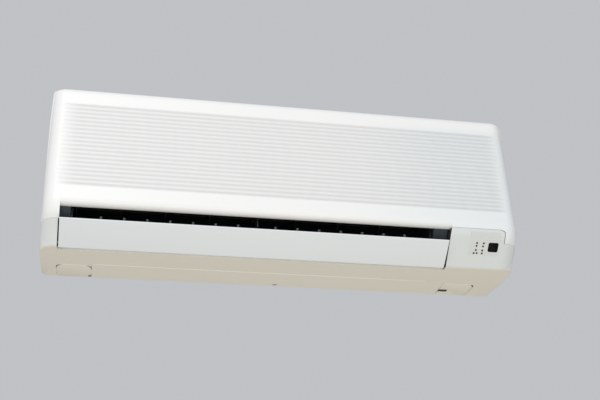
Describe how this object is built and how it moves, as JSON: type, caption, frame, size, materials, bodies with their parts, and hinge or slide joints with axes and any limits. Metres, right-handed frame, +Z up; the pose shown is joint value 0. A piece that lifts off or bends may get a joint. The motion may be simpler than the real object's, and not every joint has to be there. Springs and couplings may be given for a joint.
{
  "type": "mini split indoor unit",
  "caption": "Wall-mounted air conditioner indoor unit: hinged ribbed front panel, motor-driven air flap, turning vanes, cross-flow fan, bent coil, filters and wall plate.",
  "frame": {"origin": "centre of the wall plate's back face, which lies on the wall; 150 mm above the unit's bottom back edge", "axes": "+X along the unit towards the display end, +Y into the wall, +Z up; the front panel faces -Y"},
  "size_m": [0.7995, 0.17, 0.2899],
  "materials": {
    "panel_white": "moulded, fine satin",
    "frame_white": "moulded, fine satin",
    "flap_white": "moulded, satin",
    "duct_dark": "dark moulded plastic",
    "block_bluegrey": "moulded, matt",
    "coil_aluminium": "thin fins, bare",
    "copper": "drawn copper tube, bright",
    "galvanised": "zinc-coated pressed sheet",
    "brass_nut": "machined",
    "foam": "moulded polystyrene in plastic tray",
    "rubber_black": "moulded",
    "window_black": "dark, glossy",
    "lamp_grey": "smoked",
    "board_green": "coated circuit board",
    "box_grey": "flame-resistant plastic",
    "gear_plastic": "acetal",
    "filter_black": "moulded frame",
    "motor_steel": "potted motor can"
  },
  "bodies": {
    "root": {"front_frame": "frame_white", "rear_chassis": "frame_white", "mounting_plate": "galvanised", "underside_screw": "galvanised", "left_pipe_cover": "frame_white", "right_pipe_cover": "frame_white", "drain_pan": "foam", "drain_plug": "rubber_black", "coil_lower_front": "coil_aluminium", "coil_upper_front": "coil_aluminium", "coil_rear": "coil_aluminium", "coil_top_seal": "rubber_black", "coil_end_plate_left": "copper", "coil_end_plate_right": "copper", "gas_pipe": "copper", "liquid_pipe": "copper", "gas_flare_nut": "brass_nut", "liquid_flare_nut": "brass_nut", "fan_bearing": "rubber_black", "fan_motor": "motor_steel", "motor_clamp": "frame_white", "flap_motor": "galvanised", "outlet_block_left": "block_bluegrey", "outlet_block_right": "block_bluegrey", "outlet_stay": "duct_dark", "electric_box": "box_grey", "electric_box_cover": "galvanised", "control_board": "board_green", "terminal_block": "box_grey", "button_switch": "box_grey", "room_sensor": "box_grey", "receiver_window": "window_black", "indicator_light_guide": "lamp_grey", "display_board": "board_green"},
    "front_panel": {"front_panel": "panel_white"},
    "flap": {"air_flap": "flap_white", "flap_gear": "gear_plastic"},
    "flap_drive": {"flap_drive_gear": "gear_plastic"},
    "fan": {"cross_flow_fan": "duct_dark", "fan_shaft": "galvanised"},
    "filter_left": {"filter_left": "filter_black"},
    "filter_right": {"filter_right": "filter_black"},
    "button": {"emergency_button": "panel_white"},
    "vane_left_1": {"vane_left_1": "duct_dark"},
    "vane_left_2": {"vane_left_2": "duct_dark"},
    "vane_left_3": {"vane_left_3": "duct_dark"},
    "vane_left_4": {"vane_left_4": "duct_dark"},
    "vane_left_5": {"vane_left_5": "duct_dark"},
    "vane_left_6": {"vane_left_6": "duct_dark"},
    "vane_left_7": {"vane_left_7": "duct_dark"},
    "vane_right_1": {"vane_right_1": "duct_dark"},
    "vane_right_2": {"vane_right_2": "duct_dark"},
    "vane_right_3": {"vane_right_3": "duct_dark"},
    "vane_right_4": {"vane_right_4": "duct_dark"},
    "vane_right_5": {"vane_right_5": "duct_dark"},
    "vane_right_6": {"vane_right_6": "duct_dark"},
    "vane_right_7": {"vane_right_7": "duct_dark"},
    "link_left": {"vane_link_left": "duct_dark"},
    "link_right": {"vane_link_right": "duct_dark"}
  },
  "joints": [
    {"name": "panel_hinge", "type": "hinge", "parent": "root", "child": "front_panel", "pos_m": [0, -0.123, 0.1365], "axis": [-1, 0, 0], "range_deg": [0, 70]},
    {"name": "flap_hinge", "type": "hinge", "parent": "root", "child": "flap", "pos_m": [0, -0.1245, -0.133], "axis": [1, 0, 0], "range_deg": [-9, 45]},
    {"name": "flap_drive_spin", "type": "hinge", "parent": "root", "child": "flap_drive", "pos_m": [0.2835, -0.1195, -0.12587], "axis": [1, 0, 0], "range_deg": [-45, 9]},
    {"name": "fan_spin", "type": "hinge", "parent": "root", "child": "fan", "pos_m": [-0.05, -0.078, -0.03], "axis": [1, 0, 0], "continuous": true},
    {"name": "filter_left_slide", "type": "slide", "parent": "root", "child": "filter_left", "axis": [0, 0.1521, 0.9884], "range_m": [0, 0.007]},
    {"name": "filter_right_slide", "type": "slide", "parent": "root", "child": "filter_right", "axis": [0, 0.1521, 0.9884], "range_m": [0, 0.007]},
    {"name": "button_press", "type": "slide", "parent": "root", "child": "button", "axis": [0, 1, 0], "range_m": [0, 0.0012], "stiffness_N_per_m": 400, "springref_m": -0.0003},
    {"name": "vane_left_1_turn", "type": "hinge", "parent": "root", "child": "vane_left_1", "pos_m": [-0.3029, -0.1084, -0.1271], "axis": [0, -0.5035, 0.864], "range_deg": [-30, 30]},
    {"name": "vane_left_2_turn", "type": "hinge", "parent": "root", "child": "vane_left_2", "pos_m": [-0.266, -0.1084, -0.1271], "axis": [0, -0.5035, 0.864], "range_deg": [-30, 30]},
    {"name": "vane_left_3_turn", "type": "hinge", "parent": "root", "child": "vane_left_3", "pos_m": [-0.2291, -0.1084, -0.1271], "axis": [0, -0.5035, 0.864], "range_deg": [-30, 30]},
    {"name": "vane_left_4_turn", "type": "hinge", "parent": "root", "child": "vane_left_4", "pos_m": [-0.1922, -0.1084, -0.1271], "axis": [0, -0.5035, 0.864], "range_deg": [-30, 30]},
    {"name": "vane_left_5_turn", "type": "hinge", "parent": "root", "child": "vane_left_5", "pos_m": [-0.1553, -0.1084, -0.1271], "axis": [0, -0.5035, 0.864], "range_deg": [-30, 30]},
    {"name": "vane_left_6_turn", "type": "hinge", "parent": "root", "child": "vane_left_6", "pos_m": [-0.1184, -0.1084, -0.1271], "axis": [0, -0.5035, 0.864], "range_deg": [-30, 30]},
    {"name": "vane_left_7_turn", "type": "hinge", "parent": "root", "child": "vane_left_7", "pos_m": [-0.0815, -0.1084, -0.1271], "axis": [0, -0.5035, 0.864], "range_deg": [-30, 30]},
    {"name": "vane_right_1_turn", "type": "hinge", "parent": "root", "child": "vane_right_1", "pos_m": [-0.0194, -0.1084, -0.1271], "axis": [0, -0.5035, 0.864], "range_deg": [-30, 30]},
    {"name": "vane_right_2_turn", "type": "hinge", "parent": "root", "child": "vane_right_2", "pos_m": [0.0175, -0.1084, -0.1271], "axis": [0, -0.5035, 0.864], "range_deg": [-30, 30]},
    {"name": "vane_right_3_turn", "type": "hinge", "parent": "root", "child": "vane_right_3", "pos_m": [0.0544, -0.1084, -0.1271], "axis": [0, -0.5035, 0.864], "range_deg": [-30, 30]},
    {"name": "vane_right_4_turn", "type": "hinge", "parent": "root", "child": "vane_right_4", "pos_m": [0.0913, -0.1084, -0.1271], "axis": [0, -0.5035, 0.864], "range_deg": [-30, 30]},
    {"name": "vane_right_5_turn", "type": "hinge", "parent": "root", "child": "vane_right_5", "pos_m": [0.1282, -0.1084, -0.1271], "axis": [0, -0.5035, 0.864], "range_deg": [-30, 30]},
    {"name": "vane_right_6_turn", "type": "hinge", "parent": "root", "child": "vane_right_6", "pos_m": [0.1651, -0.1084, -0.1271], "axis": [0, -0.5035, 0.864], "range_deg": [-30, 30]},
    {"name": "vane_right_7_turn", "type": "hinge", "parent": "root", "child": "vane_right_7", "pos_m": [0.202, -0.1084, -0.1271], "axis": [0, -0.5035, 0.864], "range_deg": [-30, 30]},
    {"name": "link_left_swing", "type": "hinge", "parent": "vane_left_1", "child": "link_left", "pos_m": [-0.3029, -0.09976, -0.12206], "axis": [0, -0.5035, 0.864], "range_deg": [-30, 30]},
    {"name": "link_right_swing", "type": "hinge", "parent": "vane_right_1", "child": "link_right", "pos_m": [-0.0194, -0.09976, -0.12206], "axis": [0, -0.5035, 0.864], "range_deg": [-30, 30]}
  ],
  "couplings": [
    {"joint": "flap_drive_spin", "follows": "flap_hinge", "ratio": -1},
    {"joint": "vane_left_2_turn", "follows": "vane_left_1_turn", "ratio": 1},
    {"joint": "vane_left_3_turn", "follows": "vane_left_1_turn", "ratio": 1},
    {"joint": "vane_left_4_turn", "follows": "vane_left_1_turn", "ratio": 1},
    {"joint": "vane_left_5_turn", "follows": "vane_left_1_turn", "ratio": 1},
    {"joint": "vane_left_6_turn", "follows": "vane_left_1_turn", "ratio": 1},
    {"joint": "vane_left_7_turn", "follows": "vane_left_1_turn", "ratio": 1},
    {"joint": "link_left_swing", "follows": "vane_left_1_turn", "ratio": -1},
    {"joint": "vane_right_2_turn", "follows": "vane_right_1_turn", "ratio": 1},
    {"joint": "vane_right_3_turn", "follows": "vane_right_1_turn", "ratio": 1},
    {"joint": "vane_right_4_turn", "follows": "vane_right_1_turn", "ratio": 1},
    {"joint": "vane_right_5_turn", "follows": "vane_right_1_turn", "ratio": 1},
    {"joint": "vane_right_6_turn", "follows": "vane_right_1_turn", "ratio": 1},
    {"joint": "vane_right_7_turn", "follows": "vane_right_1_turn", "ratio": 1},
    {"joint": "link_right_swing", "follows": "vane_right_1_turn", "ratio": -1}
  ]
}
